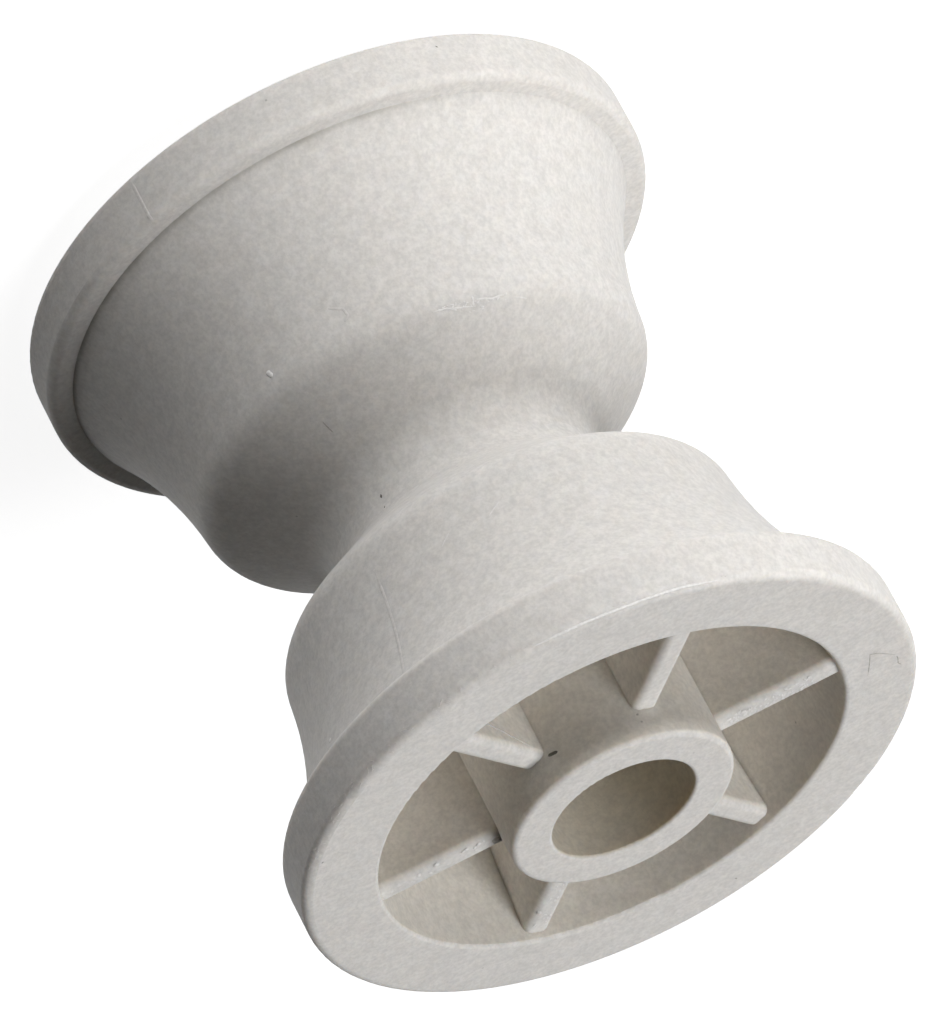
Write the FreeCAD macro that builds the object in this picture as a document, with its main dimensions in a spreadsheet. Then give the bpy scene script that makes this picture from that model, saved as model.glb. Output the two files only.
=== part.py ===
import FreeCAD, Part
import math
import os

import Sketcher

# One moulded plastic roller for the bow of a boat. It turns on a pin through its bore, and the
# anchor's rope or chain runs in the valley round its middle.
# Lengths are in millimetres and angles in degrees. The body is drawn with its middle plane at
# height 0 and its axis on Z, and then stands on the end of its hub with that end at height 0.

SIZES = {
    # flanges
    "flange_diameter": 56.0,
    "flange_span": 59.5,
    "face_width": 6.7,
    "rim_width": 5.1,
    "rim_step": 2.1,
    "rim_edge_round": 0.8,
    # flared body between flange and valley
    "flare_drop": 5.1,
    "flare_radius": 35.4,
    "shoulder_round": 3.0,
    # valley round the middle
    "valley_half_width": 9.5,
    "valley_floor_round": 4.1,
    "waist_wall": 5.8,
    # hub tube and its bore
    "bore_diameter": 13.0,
    "bore_edge_round": 0.3,
    "hub_wall": 3.65,
    "hub_proud": 2.1,
    "hub_edge_round": 0.5,
    # recess in each end
    "recess_depth": 15.0,
    "floor_inset": 2.1,
    "floor_round": 2.0,
    "floor_hub_round": 1.0,
    "mouth_edge_round": 0.35,
    # ribs in the recess
    "rib_count": 6.0,
    "rib_thickness": 2.4,
    "rib_setback": 0.8,
    "rib_draft": 0.5,
    "rib_bite": 0.9,
    "rib_edge_round": 0.75,
}

# Lengths that follow from the sheet, as expressions that the sketches are bound to.
FLANGE_R = "Sizes.flange_diameter / 2"
ROOT_R = FLANGE_R + " - Sizes.rim_step"
SHOULDER_R = ROOT_R + " - Sizes.flare_drop"
MOUTH_R = FLANGE_R + " - Sizes.face_width"
FLOOR_R = SHOULDER_R + " - Sizes.floor_inset"
BORE_R = "Sizes.bore_diameter / 2"
HUB_R = BORE_R + " + Sizes.hub_wall"
WAIST_R = BORE_R + " + Sizes.waist_wall"
FACE_Z = "Sizes.flange_span / 2"
RIM_Z = FACE_Z + " - Sizes.rim_width"
HUB_END_Z = FACE_Z + " + Sizes.hub_proud"
FLOOR_Z = FACE_Z + " - Sizes.recess_depth"
RIB_END_Z = FACE_Z + " - Sizes.rib_setback"
RIB_FOOT_Z = FLOOR_Z + " - Sizes.rib_bite"
RIB_START_R = HUB_R + " - Sizes.rib_bite"
RIB_END_WIDTH = "Sizes.rib_thickness - 2 * Sizes.rib_edge_round"
RIB_FOOT_WIDTH = "Sizes.rib_thickness + 2 * tan(Sizes.rib_draft * 1deg)"
RIB_FOOT_WIDTH += " * (Sizes.recess_depth + Sizes.rib_bite - Sizes.rib_setback)"

# A sketch's constraints count its edges from 0, its own axes just below that, and the places on
# an edge from 1. The origin is the start of its X axis.
START, END, CENTRE = range(1, 4)
Y_AXIS, X_AXIS = range(-2, 0)
ORIGIN = (X_AXIS, START)


def make_sheet(doc):
    """Puts every driving size in a spreadsheet, one row each, with its name as alias."""
    sheet = doc.addObject("Spreadsheet::Sheet", "Sizes")
    for row, (name, value) in enumerate(SIZES.items(), start=1):
        sheet.set("A%d" % row, name)
        sheet.set("B%d" % row, str(value))
        sheet.setAlias("B%d" % row, name)
    return sheet


def origin_item(body, role):
    """Finds one of the body's own origin planes or axes by its role."""
    return next(item for item in body.Origin.OriginFeatures if item.Role == role)


def add_sketch(body, name, role, offset=None):
    """Adds a sketch on an origin plane, raised along its normal by an expression if one is given."""
    sketch = body.newObject("Sketcher::SketchObject", name)
    sketch.AttachmentSupport = [(origin_item(body, role), "")]
    sketch.MapMode = "FlatFace"
    if offset:
        sketch.setExpression(".AttachmentOffset.Base.z", offset)
    return sketch


def bind(sketch, name, kind, places, value, expression):
    """Adds a named dimension to a sketch and ties it to the sheet."""
    index = sketch.addConstraint(Sketcher.Constraint(kind, *places, value))
    sketch.renameConstraint(index, name)
    sketch.setExpression("Constraints." + name, expression)


def point(radius, height):
    """A place in a sketch, by its distance from the axis and its height over the middle plane."""
    return FreeCAD.Vector(radius, height, 0)


def line(start, end):
    """A straight edge of a sketch."""
    return Part.LineSegment(start, end)


def arc(centre, radius, first, last):
    """An arc that runs counter-clockwise between two angles in radians."""
    circle = Part.Circle(centre, FreeCAD.Vector(0, 0, 1), radius)
    return Part.ArcOfCircle(circle, first, last)


def outer_profile(body):
    """Half of the roller's outline, from the middle plane to the end of the hub.

    The waist arc runs by a straight wall into the rounded shoulder, and that runs smoothly into
    the hollow arc of the flare, which ends at the foot of the rim.
    """
    face_z = SIZES["flange_span"] / 2
    rim_z = face_z - SIZES["rim_width"]
    hub_end_z = face_z + SIZES["hub_proud"]
    flange_r = SIZES["flange_diameter"] / 2
    root_r = flange_r - SIZES["rim_step"]
    shoulder_r = root_r - SIZES["flare_drop"]
    bore_r = SIZES["bore_diameter"] / 2
    hub_r = bore_r + SIZES["hub_wall"]
    waist_r = bore_r + SIZES["waist_wall"]
    waist_round = SIZES["valley_floor_round"]
    shoulder_round = SIZES["shoulder_round"]
    flare_r = SIZES["flare_radius"]

    # The flare's slope to the axis at its two ends comes from its chord and its radius.
    shoulder = point(shoulder_r, SIZES["valley_half_width"])
    root = point(root_r, rim_z)
    chord = root - shoulder
    chord_slope = math.atan2(chord.x, chord.y)
    half_turn = math.asin(chord.Length / 2 / flare_r)
    slope_root = chord_slope + half_turn
    slope_shoulder = chord_slope - half_turn
    outward = point(math.cos(slope_shoulder), -math.sin(slope_shoulder))
    flare_centre = shoulder + outward * flare_r
    shoulder_centre = shoulder - outward * shoulder_round

    # The valley wall touches the shoulder arc on one side and the waist arc on the other.
    waist_centre = point(waist_r + waist_round, 0)
    apart = shoulder_centre - waist_centre
    wall_slope = math.atan2(apart.x, apart.y) + math.asin((shoulder_round + waist_round) / apart.Length)
    across = point(math.cos(wall_slope), -math.sin(wall_slope))
    wall_low = waist_centre - across * waist_round
    wall_high = shoulder_centre + across * shoulder_round

    sketch = add_sketch(body, "OuterProfile", "XZ_Plane")
    sketch.addGeometry([
        line(point(0, 0), point(waist_r, 0)),
        arc(waist_centre, waist_round, math.pi - wall_slope, math.pi),
        line(wall_low, wall_high),
        arc(shoulder_centre, shoulder_round, -wall_slope, -slope_shoulder),
        arc(flare_centre, flare_r, math.pi - slope_root, math.pi - slope_shoulder),
        line(root, point(flange_r, rim_z)),
        line(point(flange_r, rim_z), point(flange_r, face_z)),
        line(point(flange_r, face_z), point(hub_r, face_z)),
        line(point(hub_r, face_z), point(hub_r, hub_end_z)),
        line(point(hub_r, hub_end_z), point(0, hub_end_z)),
        line(point(0, hub_end_z), point(0, 0)),
    ])
    (middle, waist_arc, wall, shoulder_arc, flare_arc, step, rim, face, hub_side, hub_end,
     axis) = range(11)
    sketch.addConstraint([
        Sketcher.Constraint("Coincident", middle, START, *ORIGIN),
        Sketcher.Constraint("Coincident", middle, END, waist_arc, END),
        Sketcher.Constraint("Tangent", waist_arc, START, wall, START),
        Sketcher.Constraint("Tangent", wall, END, shoulder_arc, START),
        Sketcher.Constraint("Tangent", shoulder_arc, END, flare_arc, END),
        Sketcher.Constraint("Coincident", flare_arc, START, step, START),
        Sketcher.Constraint("Coincident", step, END, rim, START),
        Sketcher.Constraint("Coincident", rim, END, face, START),
        Sketcher.Constraint("Coincident", face, END, hub_side, START),
        Sketcher.Constraint("Coincident", hub_side, END, hub_end, START),
        Sketcher.Constraint("Coincident", hub_end, END, axis, START),
        Sketcher.Constraint("Coincident", axis, END, middle, START),
        Sketcher.Constraint("Horizontal", middle),
        Sketcher.Constraint("PointOnObject", waist_arc, CENTRE, X_AXIS),
        Sketcher.Constraint("Horizontal", step),
        Sketcher.Constraint("Vertical", rim),
        Sketcher.Constraint("Horizontal", face),
        Sketcher.Constraint("Vertical", hub_side),
        Sketcher.Constraint("Horizontal", hub_end),
        Sketcher.Constraint("Vertical", axis),
    ])
    bind(sketch, "waist_radius", "DistanceX", (*ORIGIN, middle, END), waist_r, WAIST_R)
    bind(sketch, "waist_round", "Radius", (waist_arc,), waist_round, "Sizes.valley_floor_round")
    bind(sketch, "shoulder_round", "Radius", (shoulder_arc,), shoulder_round, "Sizes.shoulder_round")
    bind(sketch, "shoulder_radius", "DistanceX", (*ORIGIN, shoulder_arc, END), shoulder_r, SHOULDER_R)
    bind(sketch, "shoulder_height", "DistanceY", (*ORIGIN, shoulder_arc, END), shoulder.y,
         "Sizes.valley_half_width")
    bind(sketch, "flare_radius", "Radius", (flare_arc,), flare_r, "Sizes.flare_radius")
    bind(sketch, "root_radius", "DistanceX", (*ORIGIN, step, START), root_r, ROOT_R)
    bind(sketch, "rim_height", "DistanceY", (*ORIGIN, step, START), rim_z, RIM_Z)
    bind(sketch, "flange_radius", "DistanceX", (*ORIGIN, rim, END), flange_r, FLANGE_R)
    bind(sketch, "face_height", "DistanceY", (*ORIGIN, rim, END), face_z, FACE_Z)
    bind(sketch, "hub_radius", "DistanceX", (*ORIGIN, hub_side, END), hub_r, HUB_R)
    bind(sketch, "hub_end_height", "DistanceY", (*ORIGIN, hub_side, END), hub_end_z, HUB_END_Z)
    return sketch


def recess_profile(body):
    """The section of the hollow between the hub tube and the flange, narrower at its floor."""
    face_z = SIZES["flange_span"] / 2
    floor_z = face_z - SIZES["recess_depth"]
    mouth_r = SIZES["flange_diameter"] / 2 - SIZES["face_width"]
    shoulder_r = SIZES["flange_diameter"] / 2 - SIZES["rim_step"] - SIZES["flare_drop"]
    floor_r = shoulder_r - SIZES["floor_inset"]
    hub_r = SIZES["bore_diameter"] / 2 + SIZES["hub_wall"]

    sketch = add_sketch(body, "RecessProfile", "XZ_Plane")
    sketch.addGeometry([
        line(point(hub_r, face_z), point(mouth_r, face_z)),
        line(point(mouth_r, face_z), point(floor_r, floor_z)),
        line(point(floor_r, floor_z), point(hub_r, floor_z)),
        line(point(hub_r, floor_z), point(hub_r, face_z)),
    ])
    mouth, wall, floor, hub = range(4)
    sketch.addConstraint([
        Sketcher.Constraint("Coincident", mouth, END, wall, START),
        Sketcher.Constraint("Coincident", wall, END, floor, START),
        Sketcher.Constraint("Coincident", floor, END, hub, START),
        Sketcher.Constraint("Coincident", hub, END, mouth, START),
        Sketcher.Constraint("Horizontal", mouth),
        Sketcher.Constraint("Horizontal", floor),
        Sketcher.Constraint("Vertical", hub),
    ])
    bind(sketch, "hub_radius", "DistanceX", (*ORIGIN, hub, END), hub_r, HUB_R)
    bind(sketch, "mouth_radius", "DistanceX", (*ORIGIN, wall, START), mouth_r, MOUTH_R)
    bind(sketch, "floor_radius", "DistanceX", (*ORIGIN, wall, END), floor_r, FLOOR_R)
    bind(sketch, "face_height", "DistanceY", (*ORIGIN, wall, START), face_z, FACE_Z)
    bind(sketch, "floor_height", "DistanceY", (*ORIGIN, wall, END), floor_z, FLOOR_Z)
    return sketch


def rib_section(body):
    """The section of a rib as seen from the axis: rounded at its end, and thicker at its foot."""
    face_z = SIZES["flange_span"] / 2
    end_z = face_z - SIZES["rib_setback"]
    foot_z = face_z - SIZES["recess_depth"] - SIZES["rib_bite"]
    half = SIZES["rib_thickness"] / 2
    foot_half = half + (end_z - foot_z) * math.tan(math.radians(SIZES["rib_draft"]))
    edge_round = SIZES["rib_edge_round"]
    round_x = half - edge_round
    round_z = end_z - edge_round

    sketch = add_sketch(body, "RibSection", "YZ_Plane", RIB_START_R)
    sketch.addGeometry([
        line(point(-foot_half, foot_z), point(foot_half, foot_z)),
        line(point(foot_half, foot_z), point(half, round_z)),
        arc(point(round_x, round_z), edge_round, 0, math.pi / 2),
        line(point(round_x, end_z), point(-round_x, end_z)),
        arc(point(-round_x, round_z), edge_round, math.pi / 2, math.pi),
        line(point(-half, round_z), point(-foot_half, foot_z)),
    ])
    foot, right, right_arc, top, left_arc, left = range(6)
    sketch.addConstraint([
        Sketcher.Constraint("Coincident", foot, END, right, START),
        Sketcher.Constraint("Tangent", right, END, right_arc, START),
        Sketcher.Constraint("Tangent", right_arc, END, top, START),
        Sketcher.Constraint("Tangent", top, END, left_arc, START),
        Sketcher.Constraint("Tangent", left_arc, END, left, START),
        Sketcher.Constraint("Coincident", left, END, foot, START),
        Sketcher.Constraint("Symmetric", foot, START, foot, END, Y_AXIS),
        Sketcher.Constraint("Symmetric", top, START, top, END, Y_AXIS),
        Sketcher.Constraint("Equal", right_arc, left_arc),
    ])
    bind(sketch, "foot_width", "DistanceX", (foot, START, foot, END), 2 * foot_half, RIB_FOOT_WIDTH)
    bind(sketch, "foot_height", "DistanceY", (*ORIGIN, foot, END), foot_z, RIB_FOOT_Z)
    bind(sketch, "end_width", "DistanceX", (top, END, top, START), 2 * round_x, RIB_END_WIDTH)
    bind(sketch, "end_height", "DistanceY", (*ORIGIN, top, START), end_z, RIB_END_Z)
    bind(sketch, "edge_round", "Radius", (right_arc,), edge_round, "Sizes.rib_edge_round")
    return sketch


def bore_profile(body):
    """The circle of the bore."""
    sketch = add_sketch(body, "BoreProfile", "XY_Plane")
    bore_r = SIZES["bore_diameter"] / 2
    sketch.addGeometry(Part.Circle(point(0, 0), FreeCAD.Vector(0, 0, 1), bore_r))
    sketch.addConstraint(Sketcher.Constraint("Coincident", 0, CENTRE, *ORIGIN))
    bind(sketch, "bore", "Diameter", (0,), SIZES["bore_diameter"], "Sizes.bore_diameter")
    return sketch


def turned(body, kind, name, sketch):
    """Revolves a sketch all the way round the axis, as material or as a cut."""
    feature = body.newObject("PartDesign::" + kind, name)
    feature.Profile = sketch
    feature.ReferenceAxis = (sketch, ["V_Axis"])
    feature.Angle = 360
    return feature


def same(first, second):
    """Whether two lengths agree to a thousandth of a millimetre."""
    return abs(first - second) < 0.001


def ring_edges(shape, rings):
    """Names of the circular edges with the given pairs of radius and height."""
    names = []
    for number, edge in enumerate(shape.Edges, start=1):
        if not isinstance(edge.Curve, Part.Circle):
            continue
        centre = edge.Curve.Center
        for radius, height in rings:
            if same(edge.Curve.Radius, radius) and same(centre.z, height) and same(centre.x, 0):
                names.append("Edge%d" % number)
    return names


def cone_face(shape):
    """Name of the recess wall, the one cone that widens towards the end of the roller."""
    for number, face in enumerate(shape.Faces, start=1):
        if isinstance(face.Surface, Part.Cone) and face.BoundBox.ZMax > SIZES["flange_span"] * 0.49:
            return "Face%d" % number
    raise RuntimeError("the recess has no cone for its wall")


def rounded(body, name, base, edges, size):
    """Rounds edges of the feature before it, by a size on the sheet."""
    feature = body.newObject("PartDesign::Fillet", name)
    feature.Base = (base, edges)
    feature.setExpression("Radius", "Sizes." + size)
    return feature


def build_roller(doc):
    body = doc.addObject("PartDesign::Body", "Roller")
    body.Label = "roller"
    face_z = SIZES["flange_span"] / 2
    rim_z = face_z - SIZES["rim_width"]
    floor_z = face_z - SIZES["recess_depth"]
    hub_end_z = face_z + SIZES["hub_proud"]
    flange_r = SIZES["flange_diameter"] / 2
    mouth_r = flange_r - SIZES["face_width"]
    floor_r = flange_r - SIZES["rim_step"] - SIZES["flare_drop"] - SIZES["floor_inset"]
    bore_r = SIZES["bore_diameter"] / 2
    hub_r = bore_r + SIZES["hub_wall"]

    # one half, without its bore
    outer = turned(body, "Revolution", "OuterForm", outer_profile(body))
    doc.recompute()
    solid_volume = outer.Shape.Volume
    recess = turned(body, "Groove", "Recess", recess_profile(body))
    doc.recompute()
    if recess.Shape.Volume > solid_volume * 0.99:
        raise RuntimeError("the recess cuts nothing")

    rings = ring_edges(recess.Shape, [(floor_r, floor_z)])
    floor_round = rounded(body, "FloorRound", recess, rings, "floor_round")
    doc.recompute()
    rings = ring_edges(floor_round.Shape, [(hub_r, floor_z)])
    hub_foot_round = rounded(body, "HubFootRound", floor_round, rings, "floor_hub_round")
    doc.recompute()

    # ribs, each from inside the hub's wall up to the wall of the recess
    rib = body.newObject("PartDesign::Pad", "Rib")
    rib.Profile = rib_section(body)
    rib.Type = "UpToFace"
    rib.UpToFace = (hub_foot_round, [cone_face(hub_foot_round.Shape)])
    doc.recompute()
    ribs = body.newObject("PartDesign::PolarPattern", "Ribs")
    ribs.Originals = [rib]
    ribs.Axis = (origin_item(body, "Z_Axis"), [""])
    ribs.Angle = 360
    ribs.setExpression("Occurrences", "Sizes.rib_count")
    body.Tip = ribs
    doc.recompute()

    # edges of one half
    rings = ring_edges(ribs.Shape, [(flange_r, face_z), (flange_r, rim_z)])
    rim_round = rounded(body, "RimRound", ribs, rings, "rim_edge_round")
    doc.recompute()
    rings = ring_edges(rim_round.Shape, [(mouth_r, face_z)])
    mouth_round = rounded(body, "MouthRound", rim_round, rings, "mouth_edge_round")
    doc.recompute()
    rings = ring_edges(mouth_round.Shape, [(hub_r, hub_end_z)])
    rounded(body, "HubRound", mouth_round, rings, "hub_edge_round")
    doc.recompute()

    # both halves
    whole = body.newObject("PartDesign::Mirrored", "BothEnds")
    whole.TransformMode = "Whole shape"
    whole.MirrorPlane = (origin_item(body, "XY_Plane"), [""])
    body.Tip = whole
    doc.recompute()

    # bore for the pin
    bore = body.newObject("PartDesign::Pocket", "Bore")
    bore.Profile = bore_profile(body)
    bore.Type = "ThroughAll"
    bore.Midplane = True
    doc.recompute()
    if bore.Shape.Volume > whole.Shape.Volume * 0.99:
        raise RuntimeError("the bore cuts nothing")
    rings = ring_edges(bore.Shape, [(bore_r, hub_end_z), (bore_r, -hub_end_z)])
    rounded(body, "BoreRound", bore, rings, "bore_edge_round")
    body.setExpression(".Placement.Base.z", HUB_END_Z)
    doc.recompute()
    return body


def check(doc, bodies):
    """Stops before anything is written if a feature failed or a shape isn't one valid solid."""
    for item in doc.Objects:
        if "Invalid" in item.State or "Error" in item.State:
            raise RuntimeError("%s failed: %s" % (item.Name, item.State))
        if item.TypeId == "Sketcher::SketchObject" and item.solve() != 0:
            raise RuntimeError("%s doesn't solve" % item.Name)
    for body in bodies:
        shape = body.Shape
        if shape.isNull() or not shape.isValid() or len(shape.Solids) != 1:
            raise RuntimeError("%s isn't one valid solid" % body.Label)


def main():
    doc = FreeCAD.newDocument("AnchorRoller")
    make_sheet(doc)
    doc.recompute()
    bodies = [build_roller(doc)]
    check(doc, bodies)
    os.makedirs("parts", exist_ok=True)
    for body in bodies:
        shape = body.Shape
        shape.exportStep("parts/%s.step" % body.Label)
        box = shape.optimalBoundingBox()
        print("%s: %.1f x %.1f x %.1f mm, %.0f mm3" % (
            body.Label, box.XLength, box.YLength, box.ZLength, shape.Volume))


main()
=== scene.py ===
import math
import random

import bmesh
import bpy
from mathutils import Matrix, Vector, noise
from mathutils.bvhtree import BVHTree


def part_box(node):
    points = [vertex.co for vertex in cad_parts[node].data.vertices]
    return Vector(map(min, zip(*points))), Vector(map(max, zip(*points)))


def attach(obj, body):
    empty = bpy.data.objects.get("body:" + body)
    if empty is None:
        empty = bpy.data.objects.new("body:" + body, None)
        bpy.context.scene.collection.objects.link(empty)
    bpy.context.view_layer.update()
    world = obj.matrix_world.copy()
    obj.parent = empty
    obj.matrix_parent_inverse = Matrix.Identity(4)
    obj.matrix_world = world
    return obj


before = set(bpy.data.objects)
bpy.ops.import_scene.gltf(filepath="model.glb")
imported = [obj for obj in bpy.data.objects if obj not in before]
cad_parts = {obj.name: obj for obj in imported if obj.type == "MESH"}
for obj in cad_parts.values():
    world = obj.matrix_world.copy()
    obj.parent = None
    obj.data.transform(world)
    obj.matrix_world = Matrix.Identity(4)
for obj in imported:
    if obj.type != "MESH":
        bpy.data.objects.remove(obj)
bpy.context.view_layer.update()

# An anchor roller of off-white moulded plastic. The imported roller keeps its own mesh and gets its
# finish here, with painted shade and painted bounce light in it. Fine moulding marks and wear, with
# a painted shadow and a painted glint among them, are thin closed pieces that lie on its surface.
# Lengths are in metres and angles in degrees, unless a comment says otherwise. Angles round the
# roller count from +X.

MM = 0.001
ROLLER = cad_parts["roller"]
LOW, HIGH = (Vector(corner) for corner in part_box("roller"))
FLANGE_RADIUS = (HIGH.x - LOW.x) / 2
MIDDLE_HEIGHT = (HIGH.z + LOW.z) / 2

# The camera of the photograph, from a fit of the roller's outline.
CAMERA_AZIMUTH = 2.462
CAMERA_ELEVATION = 29.593
CAMERA_ROLL = 152.146
CAMERA_DISTANCE = 0.8025
CAMERA_LENS = 334.06
CAMERA_AIM = Vector((-0.39 * MM, 0, MIDDLE_HEIGHT))

# Soft lamps: where they stand round the roller, how large they are and how strong.
LOW_STRIP = {"distance": 0.25, "elevation": 0, "size": (0.20, 0.05)}
HIGH_BOX = {"distance": 0.6, "size": (0.30, 0.30)}
LAMPS = {
    "side_strip": {**LOW_STRIP, "azimuth": 232, "watts": 0.285},
    "top_softbox": {**HIGH_BOX, "azimuth": 182, "elevation": 70, "watts": 2.25},
    "top_fill": {**HIGH_BOX, "azimuth": 218, "elevation": 55, "watts": 0.58},
}

# The floor has one look for the light that it sends back and another for the camera. The first one
# glows faintly, though the floor is no lamp, and this glow lights the roller from below.
FLOOR_SIZE = 3.0
FLOOR_LIT = {"colour": (0.8, 0.8, 0.8, 1), "glow": 0.10}
FLOOR_SHOWN = {"colour": (0.45, 0.45, 0.45, 1), "glow": 0.90}

# Linear colours, and tints that multiply them.
WHITE = (1, 1, 1, 1)
PLASTIC_WARM = (0.756, 0.731, 0.699, 1)
PLASTIC_COOL = (0.753, 0.731, 0.702, 1)
# Painted bounce light: these tints make the recess walls paler and warmer and the bore's wall warmer.
RECESS_BOUNCE_LIGHT = (1.12, 1.105, 1.065, 1)
BORE_BOUNCE_TINT = (1.02, 0.98, 0.88, 1)
SCUFF_COLOUR = (0.88, 0.86, 0.84, 1)
RUBBED_COLOUR = (0.76, 0.73, 0.70, 1)
SPECK_COLOUR = (0.20, 0.19, 0.17, 1)
# Painted shade: the colour mixed in where corners and the rims' steps are made darker.
PAINTED_SHADE_COLOUR = (0.26, 0.24, 0.20, 1)
DIRT_COLOUR = (0.11, 0.10, 0.085, 1)
# The faint dark colour serves faint dirt, and also a painted shadow.
FAINT_DIRT_AND_SHADE_COLOUR = (0.36, 0.34, 0.31, 1)

# Noises of the finish, and the middle parts of a noise's range that are spread over its result.
GRAIN = {"scale": 2400.0, "detail": 3.0, "roughness": 0.65}
FINE_GRAIN = {"scale": 5200.0, "detail": 1.0}
BLOTCH = {"scale": 850.0, "roughness": 0.6}
CLOUD = {"scale": 110.0, "detail": 3.0}
STREAK = {"scale": 260.0}
RUBBED_PATCH = {"scale": 3200.0}
DIRT_PATCH = {"scale": 3000.0}
WIDE_MIDDLE = (0.3, 0.7)
NARROW_MIDDLE = (0.35, 0.65)

# What the noises do: factors of brightness, a range of roughness, and the height of the grain.
GRAIN_SHADES = (0.93, 1.06)
BLOTCH_SHADES = (0.96, 1.04)
GRAIN_ROUGHNESS = (0.42, 0.56)
FINE_SHARE = 0.4
GRAIN_BUMP = {"Strength": 0.6, "Distance": 0.03 * MM}
RUBBED_DARKER = 0.88
DIRT_LIGHTER = 1.5

# Dark specks, one at most in a cell of a pattern, and painted shade in narrow corners.
SPECK_CELLS = 300.0
SPECK_EDGE = (0.018, 0.04)
SPECK_RARITY = 0.72
SPECK_STRENGTH = 0.45
CORNER_SHADE_REACH = 0.9 * MM
CORNER_SHADE_OPENNESS = (0.15, 0.66)
CORNER_SHADE_STRENGTH = 0.75

# Bounds of the recesses and the bore: radii, the level of the floor, which is a height over or under
# the roller's middle, and how far a wall may face along the axis.
RECESS_RADIUS = 21.45 * MM
BORE_RADIUS = 6.8 * MM
RECESS_FLOOR = 14.5 * MM
UPRIGHT_EDGE = (0.4, 0.8)

# Painted shade on the cones below the rims' steps: where it starts, and a dark line and a wide shade,
# each with its reach and its strength. It is weaker towards -X, where the lamps stand, and uneven.
CONE_RADIUS = 24.0 * MM
STEP_LEVEL = 24.65 * MM
STEP_GAP = 0.02 * MM
STEP_SHADE = ((0.55 * MM, 0.40), (1.60 * MM, 0.15))
STEP_SHADE_FADE = (-20 * MM, 0)
STEP_SHADE_LEFT = 0.2
STEP_SHADE_SHARES = (0.75, 1.15)

# Distances under which corners of the roller's mesh are one, or lie on a cutting plane.
JOIN_DISTANCE = 1e-6
CUT_DISTANCE = 1e-7

# Section of a thin piece: how deep its edges and its keel lie, its flanks as shares of half its width
# and of its rise, and how it tapers to its ends.
RIDGE_SINK = 0.01 * MM
RIDGE_KEEL = 3 * RIDGE_SINK
FLANK_WIDTH = 0.45
FLANK_HEIGHT = 0.75
TAPER_START = 0.05
TAPER_RATE = 6.0
END_WIDTH = 0.35

# The mould's parting line lies on two opposite sides. It stands out on the lower rim and along the
# upper cone, and is worn off elsewhere. The sizes of its runs are in millimetres.
PARTING_ANGLES = {"front": 297.8, "back": 117.8}
PARTING_RUNS = {
    "lower_rim": {"heights": (2.3, 7.1), "width": 0.44, "rise": 0.02, "kind": "rubbed"},
    "upper_cone": {"heights": (43.0, 56.0), "width": 0.40, "rise": 0.015, "kind": "rubbed"},
}

# The line's rise is uneven: its mean and its swing as shares of the run's rise, and its wave.
FLASH_MEAN = 0.7
FLASH_SWING = 0.6
FLASH_WAVE = 1.6 * MM

# What finds the outside of a section: how much further out counts for more than further down or up,
# and how many places ahead and back give the slope.
OUTWARD_WEIGHT = 10
SLOPE_PLACES = 2

# Marks on the side: what each is made of, its width and rise in millimetres, and its places, each by
# angle, and height in millimetres.
SIDE_MARKS = {
    "parting_burr": ("scuff", 0.52, 0.05, ((298.9, 21.4), (298.3, 22.1))),
    # A faint dark line on the parting line in the valley: a painted shadow of the line's flash.
    "parting_painted_shadow_valley": ("faint_dirt_and_shade", 0.15, 0.015, ((297.2, 26.3), (297.6, 27.1))),
    "parting_pit_waist": ("dirt", 0.28, 0.02, ((300.0, 32.45), (300.1, 32.85))),
    "parting_pit_rise": ("dirt", 0.20, 0.02, ((299.5, 33.9), (299.6, 34.15))),
    "shoulder_scuff_left": ("scuff", 0.20, 0.015, (
        (257.4, 24.15), (254.3, 24.2), (250.4, 24.4), (247.0, 24.5))),
    "shoulder_scuff_spot": ("scuff", 0.30, 0.02, ((254.9, 24.15), (254.1, 24.2))),
    "shoulder_scuff_bar": ("scuff", 0.26, 0.018, ((246.8, 23.9), (246.7, 24.2), (247.0, 24.5))),
    "shoulder_scuff_mid": ("scuff", 0.22, 0.015, ((246.0, 24.15), (241.7, 24.3), (238.3, 24.2))),
    "shoulder_scuff_right": ("scuff", 0.17, 0.012, ((235.6, 24.4), (231.7, 24.55))),
    "shoulder_bruise": ("rubbed", 0.30, 0.012, (
        (278.8, 20.15), (275.9, 20.8), (275.6, 21.5), (276.9, 21.9))),
    # Partly a worn edge and partly a painted glint, where the rim's edge catches the light.
    "rim_edge_wear_and_glint": ("scuff", 0.28, 0.022, (
        (273.0, 61.30), (268.0, 61.34), (257.4, 61.36), (251.8, 61.32), (245.8, 61.25),
        (239.0, 61.33))),
    "flare_burr": ("scuff", 0.30, 0.04, ((323.0, 53.1), (323.3, 53.5))),
    "cone_scratch_upper": ("scuff", 0.12, 0.015, ((268.9, 45.1), (267.2, 44.6), (265.1, 44.1))),
    "cone_scratch_lower": ("scuff", 0.10, 0.015, ((281.0, 45.5), (279.6, 45.0), (278.2, 44.6))),
    "rim_pit_lower": ("dirt", 0.16, 0.015, ((237.9, 3.55), (237.5, 3.75))),
}

# Marks on the upper end, with places by angle, and distance from the axis in millimetres.
END_MARKS = {
    "insert_line_inner": ("faint_dirt_and_shade", 0.11, 0.012, (
        (174.8, 23.3), (178.7, 23.65), (182.5, 24.0), (181.6, 24.6), (180.2, 25.1), (177.9, 26.0))),
    "insert_line_outer": ("faint_dirt_and_shade", 0.13, 0.012, (
        (177.2, 26.1), (176.0, 26.15), (174.5, 26.1), (173.3, 26.4))),
    "face_pit_left": ("dirt", 0.16, 0.015, ((334.3, 26.9), (334.7, 27.05))),
    "face_pit_right": ("dirt", 0.14, 0.015, ((105.2, 25.3), (105.5, 25.5))),
    # A soft dark spot in the corner of a rib and the hub.
    "rib_corner_dark_left": ("faint_dirt_and_shade", 0.85, 0.02, ((3.4, 10.55), (-2.0, 10.65))),
}

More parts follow.
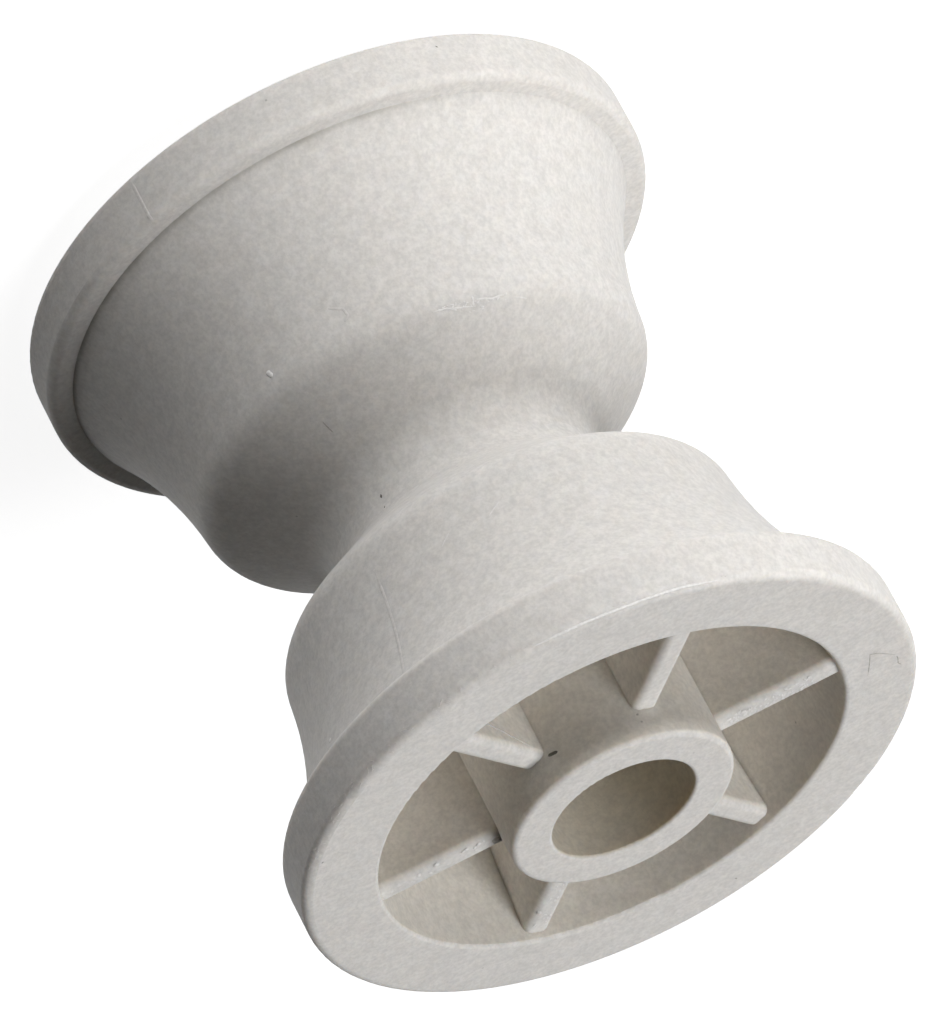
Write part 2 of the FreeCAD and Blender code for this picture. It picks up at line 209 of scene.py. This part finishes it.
# Marks on the hub's wall inside the upper recess, with places by angle, and height in millimetres.
# They are looked for from a radius between the hub and the recess wall.
POCKET_RADIUS = 15 * MM
HUB_MARKS = {
    "hub_pit_upper": ("dirt", 0.38, 0.02, ((292.6, 60.95), (287.4, 61.15))),
    "hub_pit_right": ("faint_dirt_and_shade", 0.22, 0.02, ((246.0, 61.25), (245.0, 61.1))),
}

# Worn edges of the upper rim and worn patches of the lower shoulder. Short scuffs are strewn there:
# what they are made of, how many, and the angles and heights in millimetres that they lie between.
WORN_EDGES = {
    "rim_wear_flare": ("scuff", 70, (272, 338), (55.2, 56.6)),
    "rim_wear_face": ("rubbed", 80, (236, 340), (60.9, 61.45)),
    "shoulder_wear_left": ("scuff", 12, (250, 257), (23.95, 24.45)),
    "shoulder_wear_mid": ("scuff", 16, (244.5, 250), (24.05, 24.75)),
    "shoulder_wear_right": ("scuff", 12, (237, 244.5), (24.0, 24.5)),
}
EDGE_WEAR_WIDTHS = (0.08 * MM, 0.20 * MM)
EDGE_WEAR_RISE = 0.012 * MM

# The spread of how far such a scuff leans from the edge's run, in radians.
EDGE_WEAR_LEAN = 0.35

# The ribs' upper ends are scuffed too: how many scuffs, the rib's angle, and the distances from the
# axis in millimetres that they lie between. Across the rib they lie within two shares of a span.
WORN_RIBS = {
    "rib_wear_right": (90, 180, (11.0, 19.0)),
    "rib_wear_left": (30, 0, (11.0, 20.5)),
    "rib_wear_lower": (20, 60, (14.0, 20.5)),
}
RIB_WEAR_SPAN = 2.0 * MM
RIB_WEAR_SHARES = (-0.4, 0.4)
RIB_WEAR_WIDTHS = (0.20 * MM, 0.50 * MM)
RIB_WEAR_RISE = 0.012 * MM
RIB_WEAR_TURN = 30
WEAR_LENGTHS = (0.15 * MM, 0.60 * MM)
WEAR_SEED = 11


# Nodes of a material

class Graph:
    """Builds the node tree of a material or a world."""

    def __init__(self, owner):
        owner.use_nodes = True
        self.tree = owner.node_tree
        self.tree.nodes.clear()

    def node(self, kind, values=None, **settings):
        """Adds a node. values are its sockets: a number or colour is set, a socket is linked."""
        node = self.tree.nodes.new(kind)
        for name, value in settings.items():
            setattr(node, name, value)
        for name, value in (values or {}).items():
            if isinstance(value, bpy.types.NodeSocket):
                self.tree.links.new(value, node.inputs[name])
            else:
                node.inputs[name].default_value = value
        return node

    def math(self, operation, first, second=0.0):
        return self.node("ShaderNodeMath", {0: first, 1: second}, operation=operation).outputs[0]

    def noise(self, place, scale, detail=2.0, roughness=0.5):
        values = {"Vector": place, "Scale": scale, "Detail": detail, "Roughness": roughness}
        return self.node("ShaderNodeTexNoise", values).outputs["Fac"]

    def spread(self, value, low, high, low_out, high_out):
        """Maps a range of a value onto another, with soft ends."""
        values = {
            "Value": value,
            "From Min": low,
            "From Max": high,
            "To Min": low_out,
            "To Max": high_out,
        }
        node = self.node("ShaderNodeMapRange", values, interpolation_type="SMOOTHSTEP")
        return node.outputs["Result"]

    def mix(self, share, first, second, blend="MIX"):
        node = self.node("ShaderNodeMix", data_type="RGBA", blend_type=blend)
        for index, value in ((0, share), (6, first), (7, second)):
            if isinstance(value, bpy.types.NodeSocket):
                self.tree.links.new(value, node.inputs[index])
            else:
                node.inputs[index].default_value = value
        return node.outputs[2]

    def seen(self):
        """1 for what the camera, a reflection or glass sees, and 0 for what only lights the roller."""
        paths = self.node("ShaderNodeLightPath").outputs
        direct = self.math("MAXIMUM", paths["Is Camera Ray"], paths["Is Glossy Ray"])
        return self.math("MAXIMUM", direct, paths["Is Transmission Ray"])


def regions(graph, place, normal):
    """Masks of 0 to 1 for the walls of the recesses, the bore's wall and the painted shade below the
    steps.

    The first two stay off what faces along the axis, and the last is weaker towards -X, where the
    lamps stand.
    """
    flat = graph.node("ShaderNodeVectorMath", {0: place, 1: (1, 1, 0)}, operation="MULTIPLY")
    length = graph.node("ShaderNodeVectorMath", {0: flat.outputs[0]}, operation="LENGTH")
    radius = length.outputs["Value"]
    parts = graph.node("ShaderNodeSeparateXYZ", {0: place}).outputs
    level = graph.math("ABSOLUTE", graph.math("SUBTRACT", parts["Z"], MIDDLE_HEIGHT))
    facing = graph.node("ShaderNodeSeparateXYZ", {0: normal}).outputs["Z"]
    upright = graph.spread(graph.math("ABSOLUTE", facing), *UPRIGHT_EDGE, 1.0, 0.0)
    bore = graph.math("MULTIPLY", graph.math("LESS_THAN", radius, BORE_RADIUS), upright)
    recess = graph.math("MULTIPLY", graph.math("LESS_THAN", radius, RECESS_RADIUS),
                        graph.math("GREATER_THAN", level, RECESS_FLOOR))
    recess = graph.math("SUBTRACT", graph.math("MULTIPLY", recess, upright), bore)
    below = graph.math("SUBTRACT", STEP_LEVEL, level)
    cone = graph.math("MULTIPLY", graph.math("GREATER_THAN", below, STEP_GAP),
                      graph.math("GREATER_THAN", radius, CONE_RADIUS))
    line, shade = (graph.spread(below, 0.0, reach, strength, 0.0) for reach, strength in STEP_SHADE)
    step_shade = graph.math("MULTIPLY", cone, graph.math("ADD", line, shade))
    fade = graph.spread(parts["X"], *STEP_SHADE_FADE, STEP_SHADE_LEFT, 1.0)
    return graph.math("MAXIMUM", recess, 0.0), bore, graph.math("MULTIPLY", step_shade, fade)


def plastic():
    """Off-white plastic with a fine moulded grain, faint clouds, dark specks, and painted shade in
    narrow corners and below the rims' steps.

    The walls of its recesses are painted paler and warmer than the rest, and the bore's wall warmer,
    as painted bounce light.
    """
    material = bpy.data.materials.new("plastic")
    graph = Graph(material)
    coordinates = graph.node("ShaderNodeTexCoord").outputs
    place = coordinates["Object"]

    grain = graph.noise(place, **GRAIN)
    blotch = graph.noise(place, **BLOTCH)
    cloud = graph.noise(place, **CLOUD)
    colour = graph.mix(graph.spread(cloud, *NARROW_MIDDLE, 0.0, 1.0), PLASTIC_WARM, PLASTIC_COOL)
    mottle = graph.spread(grain, *WIDE_MIDDLE, *GRAIN_SHADES)
    mottle = graph.math("MULTIPLY", mottle, graph.spread(blotch, *WIDE_MIDDLE, *BLOTCH_SHADES))
    grey = graph.node("ShaderNodeCombineColor", {"Red": mottle, "Green": mottle, "Blue": mottle})
    colour = graph.mix(1.0, colour, grey.outputs[0], "MULTIPLY")
    recess, bore, step_shade = regions(graph, place, coordinates["Normal"])
    # Painted bounce light in the recesses and the bore.
    for mask, bounce_tint in ((recess, RECESS_BOUNCE_LIGHT), (bore, BORE_BOUNCE_TINT)):
        colour = graph.mix(mask, colour, graph.mix(1.0, colour, bounce_tint, "MULTIPLY"))

    cells = graph.node("ShaderNodeTexVoronoi", {"Vector": place, "Scale": SPECK_CELLS})
    chance = graph.node("ShaderNodeSeparateColor", {"Color": cells.outputs["Color"]}).outputs[0]
    near_point = graph.spread(cells.outputs["Distance"], *SPECK_EDGE, 1.0, 0.0)
    speck = graph.math("MULTIPLY", near_point, graph.math("GREATER_THAN", chance, SPECK_RARITY))
    colour = graph.mix(graph.math("MULTIPLY", speck, SPECK_STRENGTH), colour, SPECK_COLOUR)

    # Painted shade: darker where an occlusion test finds a narrow corner, and below the rims' steps.
    openness = graph.node("ShaderNodeAmbientOcclusion", {"Distance": CORNER_SHADE_REACH}, samples=4)
    painted_shade = graph.spread(openness.outputs["AO"], *CORNER_SHADE_OPENNESS, CORNER_SHADE_STRENGTH, 0.0)
    streaks = graph.spread(graph.noise(place, **STREAK), *NARROW_MIDDLE, *STEP_SHADE_SHARES)
    painted_shade = graph.math("MAXIMUM", painted_shade, graph.math("MULTIPLY", step_shade, streaks))
    colour = graph.mix(painted_shade, colour, PAINTED_SHADE_COLOUR)

    roughness = graph.spread(grain, *WIDE_MIDDLE, *GRAIN_ROUGHNESS)
    fine = graph.noise(place, **FINE_GRAIN)
    height = graph.math("ADD", grain, graph.math("MULTIPLY", fine, FINE_SHARE))
    bump = graph.node("ShaderNodeBump", {**GRAIN_BUMP, "Height": height})
    surface = graph.node("ShaderNodeBsdfPrincipled", {
        "Base Color": colour,
        "Roughness": roughness,
        "IOR": 1.5,
        "Specular IOR Level": 0.03,
        "Subsurface Weight": 0.4,
        "Subsurface Radius": (1.0, 0.8, 0.6),
        "Subsurface Scale": 1.2 * MM,
        "Normal": bump.outputs["Normal"],
    })
    graph.node("ShaderNodeOutputMaterial", {"Surface": surface.outputs["BSDF"]})
    return material


def scaled(colour, factor):
    """A colour made darker or lighter."""
    return tuple(min(1.0, factor * part) for part in colour[:3]) + (1.0,)


def rubbed(name, colour):
    """Plastic rubbed pale and rough. No light spreads inside it, as the marks made of it are thin."""
    material = bpy.data.materials.new(name)
    graph = Graph(material)
    patches = graph.noise(graph.node("ShaderNodeTexCoord").outputs["Object"], **RUBBED_PATCH)
    share = graph.spread(patches, *NARROW_MIDDLE, 0.0, 1.0)
    shade = graph.mix(share, scaled(colour, RUBBED_DARKER), colour)
    bump = graph.node("ShaderNodeBump", {**GRAIN_BUMP, "Height": patches})
    surface = graph.node("ShaderNodeBsdfPrincipled", {
        "Base Color": shade,
        "Roughness": 0.55,
        "Specular IOR Level": 0.3,
        "Normal": bump.outputs["Normal"],
    })
    graph.node("ShaderNodeOutputMaterial", {"Surface": surface.outputs["BSDF"]})
    return material


def dirt(name, colour):
    """Dull dirt in a scratch or a pit. The faint one also makes a painted shadow and a plain dark
    spot.
    """
    material = bpy.data.materials.new(name)
    graph = Graph(material)
    patches = graph.noise(graph.node("ShaderNodeTexCoord").outputs["Object"], **DIRT_PATCH)
    share = graph.spread(patches, *NARROW_MIDDLE, 0.0, 1.0)
    shade = graph.mix(share, colour, scaled(colour, DIRT_LIGHTER))
    surface = graph.node("ShaderNodeBsdfPrincipled", {"Base Color": shade, "Roughness": 0.8})
    graph.node("ShaderNodeOutputMaterial", {"Surface": surface.outputs["BSDF"]})
    return material


def floor_material():
    """Pale floor that looks white to the camera and still shows the roller's shadow, and that glows
    faintly to light the roller from below.
    """
    material = bpy.data.materials.new("floor_white")
    graph = Graph(material)
    looks = []
    for look in (FLOOR_LIT, FLOOR_SHOWN):
        matte = graph.node("ShaderNodeBsdfDiffuse", {"Color": look["colour"]})
        glow = graph.node("ShaderNodeEmission", {"Color": WHITE, "Strength": look["glow"]})
        both = graph.node("ShaderNodeAddShader", {0: matte.outputs[0], 1: glow.outputs[0]})
        looks.append(both.outputs[0])
    surface = graph.node("ShaderNodeMixShader", {0: graph.seen(), 1: looks[0], 2: looks[1]})
    graph.node("ShaderNodeOutputMaterial", {"Surface": surface.outputs[0]})
    return material


# Surface of the roller

def joined_mesh():
    """A copy of the roller's mesh with shared corners joined."""
    mesh = bmesh.new()
    mesh.from_mesh(ROLLER.data)
    bmesh.ops.remove_doubles(mesh, verts=mesh.verts, dist=JOIN_DISTANCE)
    return mesh


def surface_tree():
    """A search tree over the roller's surface."""
    mesh = joined_mesh()
    tree = BVHTree.FromBMesh(mesh)
    mesh.free()
    return tree


SURFACE = surface_tree()


def around(angle, radius=1.0, height=0.0):
    """A place by its angle round the roller, its distance from the axis and its height."""
    turn = math.radians(angle)
    return Vector((radius * math.cos(turn), radius * math.sin(turn), height))


def on_side(angle, height):
    """Where a ray towards the axis meets the roller's side, and the normal there."""
    place, normal, _, _ = SURFACE.ray_cast(around(angle, 2 * FLANGE_RADIUS, height), -around(angle))
    return place, normal


def under(place):
    """Where a ray straight down through a place meets the upper end, and the normal there."""
    start = Vector((place.x, place.y, HIGH.z + FLANGE_RADIUS))
    place, normal, _, _ = SURFACE.ray_cast(start, Vector((0, 0, -1)))
    return place, normal


def on_end(angle, radius):
    """The same, by an angle and a distance from the axis."""
    return under(around(angle, radius))


def on_hub(angle, height):
    """Where a ray towards the axis from inside the upper recess meets the hub, and the normal."""
    place, normal, _, _ = SURFACE.ray_cast(around(angle, POCKET_RADIUS, height), -around(angle))
    return place, normal


def between(controls, spacing=0.12 * MM):
    """Evenly spaced pairs of values along straight runs between the given pairs.

    The first value is an angle and the second a length in millimetres, so the spacing takes the
    roller's radius into account.
    """
    spots = [controls[0]]
    for (angle, length), (next_angle, next_length) in zip(controls, controls[1:]):
        turn = math.radians(next_angle - angle) * FLANGE_RADIUS
        run = math.hypot(turn, (next_length - length) * MM)
        steps = max(1, round(run / spacing))
        for step in range(1, steps + 1):
            share = step / steps
            spots.append((angle + (next_angle - angle) * share,
                          length + (next_length - length) * share))
    return spots


# Thin pieces on the surface

def add_ridge(mesh, spots, width, rise):
    """Adds a closed low ridge along places on the surface, tapered to its two ends.

    spots are pairs of place and normal. rise may be a function of the place.
    """
    rings = []
    last = len(spots) - 1
    for index, (place, normal) in enumerate(spots):
        ahead = spots[min(index + 1, last)][0] - spots[max(index - 1, 0)][0]
        side = ahead.cross(normal).normalized()
        share = index / last
        taper = min(1.0, TAPER_RATE * min(share, 1 - share) + TAPER_START)
        top = (rise(place) if callable(rise) else rise) * taper
        half = width / 2 * (END_WIDTH + (1 - END_WIDTH) * taper)
        flank = FLANK_WIDTH * half
        shoulder = FLANK_HEIGHT * top
        profile = ((-half, -RIDGE_SINK), (-flank, shoulder), (0, top), (flank, shoulder),
                   (half, -RIDGE_SINK), (0, -RIDGE_KEEL))
        rings.append([mesh.verts.new(place + side * across + normal * up) for across, up in profile])
    count = len(rings[0])
    for first, second in zip(rings, rings[1:]):
        for corner in range(count):
            after = (corner + 1) % count
            mesh.faces.new((first[corner], first[after], second[after], second[corner]))
    mesh.faces.new(rings[0][::-1])
    mesh.faces.new(rings[-1])


def ridge(name, spots, width, rise, material):
    """A shown piece that is one ridge."""
    mesh = bmesh.new()
    add_ridge(mesh, spots, width, rise)
    return finished(name, mesh, material)


def finished(name, mesh, material):
    """Turns a bmesh into a shown piece that rides on the roller's body."""
    bmesh.ops.recalc_face_normals(mesh, faces=mesh.faces)
    data = bpy.data.meshes.new(name)
    mesh.to_mesh(data)
    mesh.free()
    data.polygons.foreach_set("use_smooth", [True] * len(data.polygons))
    data.materials.append(material)
    piece = bpy.data.objects.new(name, data)
    bpy.context.scene.collection.objects.link(piece)
    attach(piece, "root")
    return piece


def cut_loop(angle):
    """The closed section of the roller's wall at an angle, as places in order."""
    outward = around(angle)
    mesh = joined_mesh()
    bmesh.ops.bisect_plane(
        mesh, geom=mesh.verts[:] + mesh.edges[:] + mesh.faces[:], dist=CUT_DISTANCE,
        plane_co=(0, 0, 0), plane_no=(-outward.y, outward.x, 0), clear_inner=True, clear_outer=True)
    corner = max(mesh.verts, key=lambda vert: vert.co.dot(outward))
    loop = []
    seen = set()
    while corner is not None:
        seen.add(corner)
        loop.append(corner.co.copy())
        ways = [edge.other_vert(corner) for edge in corner.link_edges]
        corner = next((way for way in ways if way not in seen), None)
    mesh.free()
    return loop


def outline_at(angle, spacing=0.15 * MM):
    """The outer side of the section at an angle, from rim to rim, as pairs of place and normal."""
    outward = around(angle)

    def far_out(place):
        return OUTWARD_WEIGHT * place.dot(outward)

    loop = cut_loop(angle)
    low = max(range(len(loop)), key=lambda index: far_out(loop[index]) - loop[index].z)
    loop = loop[low:] + loop[:low]
    high = max(range(len(loop)), key=lambda index: far_out(loop[index]) + loop[index].z)
    sides = (loop[:high + 1], [loop[0]] + loop[:high - 1:-1])
    chain = max(sides, key=lambda side: min(place.dot(outward) for place in side))
    places = [chain[0]]
    for first, second in zip(chain, chain[1:]):
        steps = max(1, round((second - first).length / spacing))
        places += [first.lerp(second, step / steps) for step in range(1, steps + 1)]
    spots = []
    for index, place in enumerate(places):
        after = places[min(index + SLOPE_PLACES, len(places) - 1)]
        ahead = after - places[max(index - SLOPE_PLACES, 0)]
        normal = outward * ahead.z - Vector((0, 0, ahead.dot(outward)))
        spots.append((place, normal.normalized()))
    return spots


def uneven_rise(height):
    """The rise of the mould's flash about a height, as a function of the place."""
    return lambda place: height * (FLASH_MEAN + FLASH_SWING * noise.noise(place / FLASH_WAVE))


def make_parting_lines(materials):
    """Makes the mould's parting line where it stands out, as one ridge for each run and side."""
    for side, angle in PARTING_ANGLES.items():
        outline = outline_at(angle)
        for name, run in PARTING_RUNS.items():
            low, high = run["heights"]
            spots = [spot for spot in outline if low * MM <= spot[0].z <= high * MM]
            rise = uneven_rise(run["rise"] * MM)
            material = materials[run["kind"]]
            ridge(f"parting_line_{side}_{name}", spots, run["width"] * MM, rise, material)


def make_marks(marks, find, materials):
    """Makes each mark of a table as a ridge, with find to put its places on the surface."""
    for name, (kind, width, rise, controls) in marks.items():
        spots = [find(angle, length * MM) for angle, length in between(controls)]
        ridge(name, spots, width * MM, rise * MM, materials[kind])


def make_worn_edges(materials):
    """Strews short scuffs that run mostly along each worn edge."""
    chance = random.Random(WEAR_SEED)
    for name, (kind, count, angles, heights) in WORN_EDGES.items():
        mesh = bmesh.new()
        for _ in range(count):
            angle = chance.uniform(*angles)
            height = chance.uniform(*heights) * MM
            length = chance.uniform(*WEAR_LENGTHS)
            lean = chance.gauss(0, EDGE_WEAR_LEAN)
            turn = math.degrees(length * math.cos(lean) / FLANGE_RADIUS)
            rise = length * math.sin(lean)
            shares = (-0.5, -0.25, 0, 0.25, 0.5)
            spots = [on_side(angle + turn * share, height + rise * share) for share in shares]
            add_ridge(mesh, spots, chance.uniform(*EDGE_WEAR_WIDTHS), EDGE_WEAR_RISE)
        finished(name, mesh, materials[kind])


def make_worn_ribs(material):
    """Strews short scuffs over the upper ends of some ribs."""
    chance = random.Random(WEAR_SEED)
    for name, (count, rib_angle, reach) in WORN_RIBS.items():
        outward = around(rib_angle)
        sideways = outward.cross(Vector((0, 0, 1)))
        mesh = bmesh.new()
        for _ in range(count):
            middle = outward * chance.uniform(*reach) * MM
            middle += sideways * chance.uniform(*RIB_WEAR_SHARES) * RIB_WEAR_SPAN
            turned = around(rib_angle + chance.gauss(0, RIB_WEAR_TURN))
            run = turned * chance.uniform(*WEAR_LENGTHS)
            spots = [under(middle + run * share) for share in (-0.5, 0, 0.5)]
            add_ridge(mesh, spots, chance.uniform(*RIB_WEAR_WIDTHS), RIB_WEAR_RISE)
        finished(name, mesh, material)


# Stage, lamps and camera

def make_floor():
    bpy.ops.mesh.primitive_plane_add(size=FLOOR_SIZE, location=(0, 0, LOW.z))
    floor = bpy.context.object
    floor.name = "floor"
    floor.data.materials.append(floor_material())


def direction(azimuth, elevation):
    """Unit vector to a lamp, by its angle from +X round the roller and its angle over the floor."""
    rise = math.radians(elevation)
    flat = around(azimuth, math.cos(rise))
    return flat + Vector((0, 0, math.sin(rise)))


def make_lamps():
    for name, lamp in LAMPS.items():
        light = bpy.data.lights.new(name, "AREA")
        light.shape = "RECTANGLE"
        light.size, light.size_y = lamp["size"]
        light.energy = lamp["watts"]
        towards = direction(lamp["azimuth"], lamp["elevation"])
        piece = bpy.data.objects.new(name, light)
        piece.matrix_world = towards.to_track_quat("Z", "Y").to_matrix().to_4x4()
        piece.location = Vector((0, 0, MIDDLE_HEIGHT)) + towards * lamp["distance"]
        piece.visible_camera = False
        bpy.context.scene.collection.objects.link(piece)


def make_world():
    """White where the camera or a reflection sees past the floor, and no light on the roller."""
    world = bpy.data.worlds.new("studio")
    bpy.context.scene.world = world
    graph = Graph(world)
    white = graph.node("ShaderNodeBackground", {"Color": WHITE, "Strength": graph.seen()})
    graph.node("ShaderNodeOutputWorld", {"Surface": white.outputs[0]})


def make_camera():
    """The photograph's camera, which is rolled so far that the upper end points down and right."""
    turn = math.radians(CAMERA_AZIMUTH)
    tilt = math.radians(CAMERA_ELEVATION)
    roll = math.radians(CAMERA_ROLL)
    back = Vector((
        math.sin(turn) * math.cos(tilt), -math.cos(turn) * math.cos(tilt), math.sin(tilt)))
    level = Vector((math.cos(turn), math.sin(turn), 0))
    right = level * math.cos(roll) + back.cross(level) * math.sin(roll)
    camera = bpy.data.objects.new("camera", bpy.data.cameras.new("camera"))
    camera.data.lens = CAMERA_LENS
    camera.data.clip_start = 0.01
    camera.matrix_world = Matrix((right, back.cross(right), back)).transposed().to_4x4()
    camera.location = CAMERA_AIM + back * CAMERA_DISTANCE
    bpy.context.scene.collection.objects.link(camera)
    bpy.context.scene.camera = camera


def main():
    materials = {
        "plastic": plastic(),
        "scuff": rubbed("plastic_scuffed", SCUFF_COLOUR),
        "rubbed": rubbed("plastic_rubbed", RUBBED_COLOUR),
        "dirt": dirt("dirt", DIRT_COLOUR),
        "faint_dirt_and_shade": dirt("faint_dirt_and_shade", FAINT_DIRT_AND_SHADE_COLOUR),
    }
    ROLLER.data.materials.clear()
    ROLLER.data.materials.append(materials["plastic"])
    make_parting_lines(materials)
    make_marks(SIDE_MARKS, on_side, materials)
    make_marks(END_MARKS, on_end, materials)
    make_marks(HUB_MARKS, on_hub, materials)
    make_worn_edges(materials)
    make_worn_ribs(materials["scuff"])
    make_floor()
    make_lamps()
    make_world()
    make_camera()
    bpy.context.scene.view_settings.view_transform = "Standard"


main()
